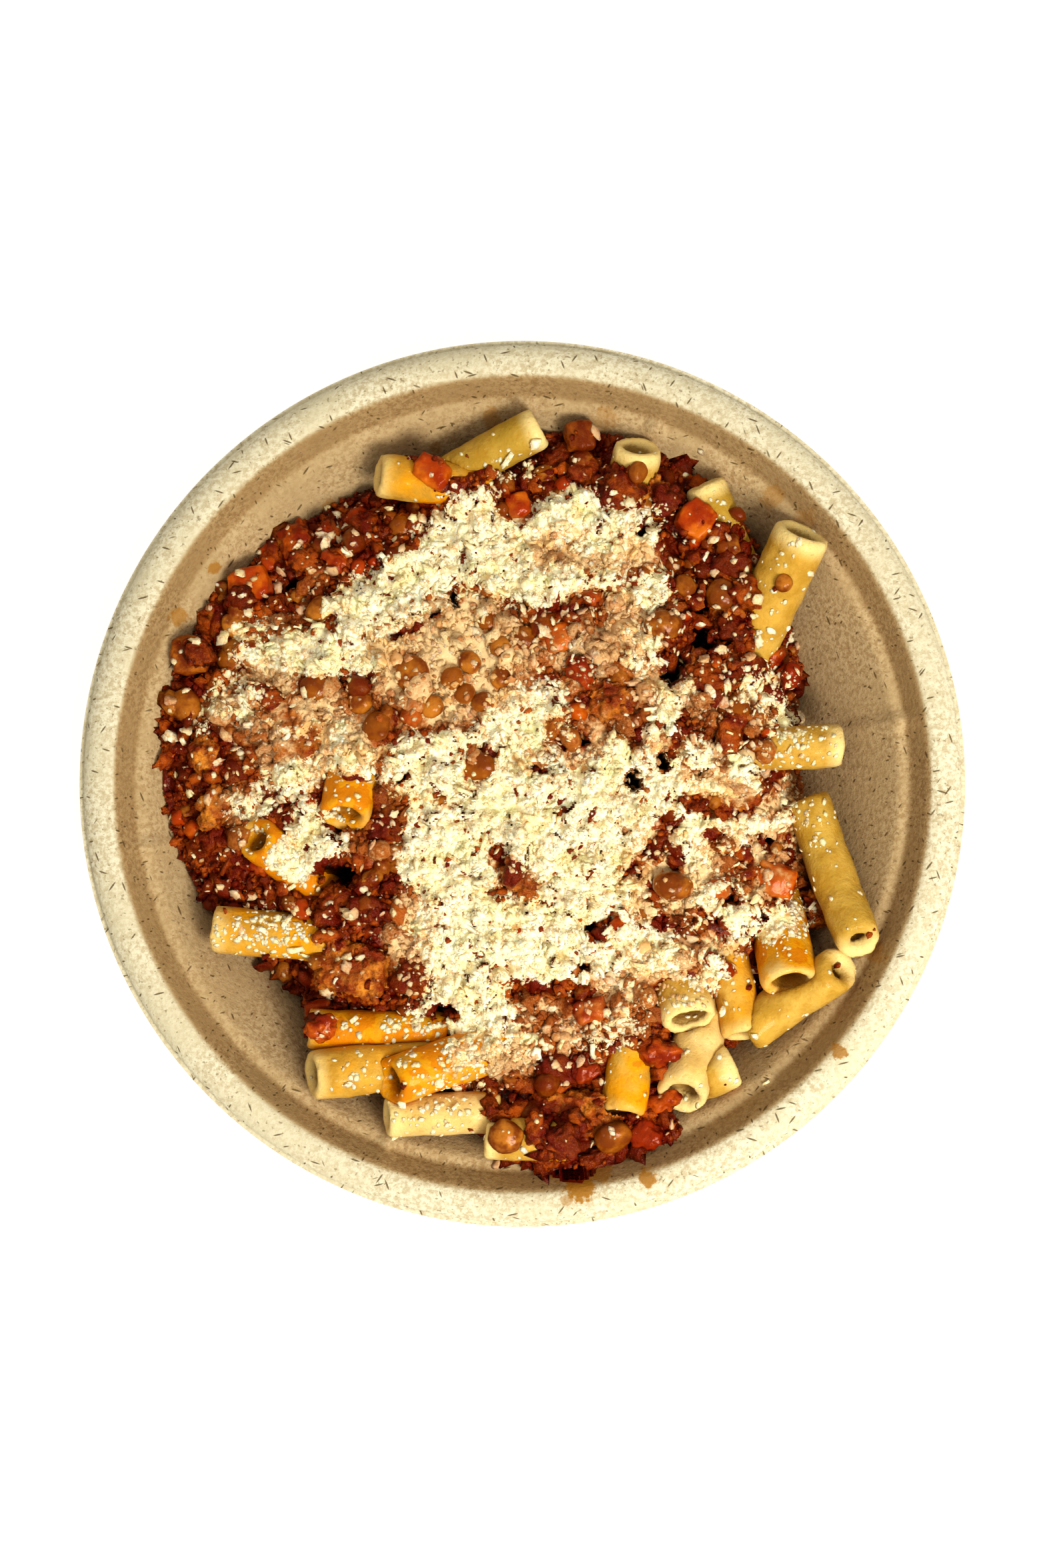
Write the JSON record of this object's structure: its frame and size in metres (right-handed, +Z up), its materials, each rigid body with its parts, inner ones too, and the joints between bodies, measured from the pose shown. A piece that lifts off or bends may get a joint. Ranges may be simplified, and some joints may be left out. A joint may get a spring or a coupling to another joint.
{
  "type": "bowl of pasta with meat sauce",
  "caption": "Round moulded-fibre bowl with a rolled rim, heaped with short hollow pasta tubes, chunky meat sauce, diced carrot and grated hard cheese.",
  "frame": {"origin": "on the surface the bowl stands on, under the bowl's centre", "axes": "+Z up along the bowl's axis; +X to the right and +Y away, as the bowl is served and seen from above"},
  "size_m": [0.2, 0.2, 0.0545],
  "materials": {
    "moulded_fibre": "matte",
    "pasta": "satin",
    "meat_sauce": "satin",
    "minced_meat": "satin",
    "carrot": "satin",
    "mushroom": "satin",
    "lentil": "satin",
    "grated_cheese": "matte"
  },
  "bodies": {
    "root": {"bowl": "moulded_fibre", "carrot_01": "carrot", "carrot_02": "carrot", "carrot_03": "carrot", "carrot_04": "carrot", "carrot_05": "carrot", "carrot_06": "carrot", "carrot_07": "carrot", "carrot_08": "carrot", "carrot_09": "carrot", "carrot_10": "carrot", "meat_01": "minced_meat", "meat_02": "minced_meat", "meat_03": "minced_meat", "meat_04": "minced_meat", "meat_05": "minced_meat", "meat_06": "minced_meat", "meat_07": "minced_meat", "meat_08": "minced_meat", "meat_09": "minced_meat", "meat_10": "minced_meat", "meat_11": "minced_meat", "meat_12": "minced_meat", "mushroom_01": "mushroom", "mushroom_02": "mushroom", "rigatoni_01": "pasta", "rigatoni_02": "pasta", "rigatoni_03": "pasta", "rigatoni_04": "pasta", "rigatoni_05": "pasta", "rigatoni_06": "pasta", "rigatoni_07": "pasta", "rigatoni_08": "pasta", "rigatoni_09": "pasta", "rigatoni_10": "pasta", "rigatoni_11": "pasta", "rigatoni_12": "pasta", "rigatoni_13": "pasta", "rigatoni_14": "pasta", "rigatoni_15": "pasta", "rigatoni_16": "pasta", "rigatoni_17": "pasta", "rigatoni_18": "pasta", "rigatoni_19": "pasta", "rigatoni_20": "pasta", "rigatoni_21": "pasta", "rigatoni_22": "pasta", "sauce_heap": "meat_sauce"}
  },
  "joints": []
}
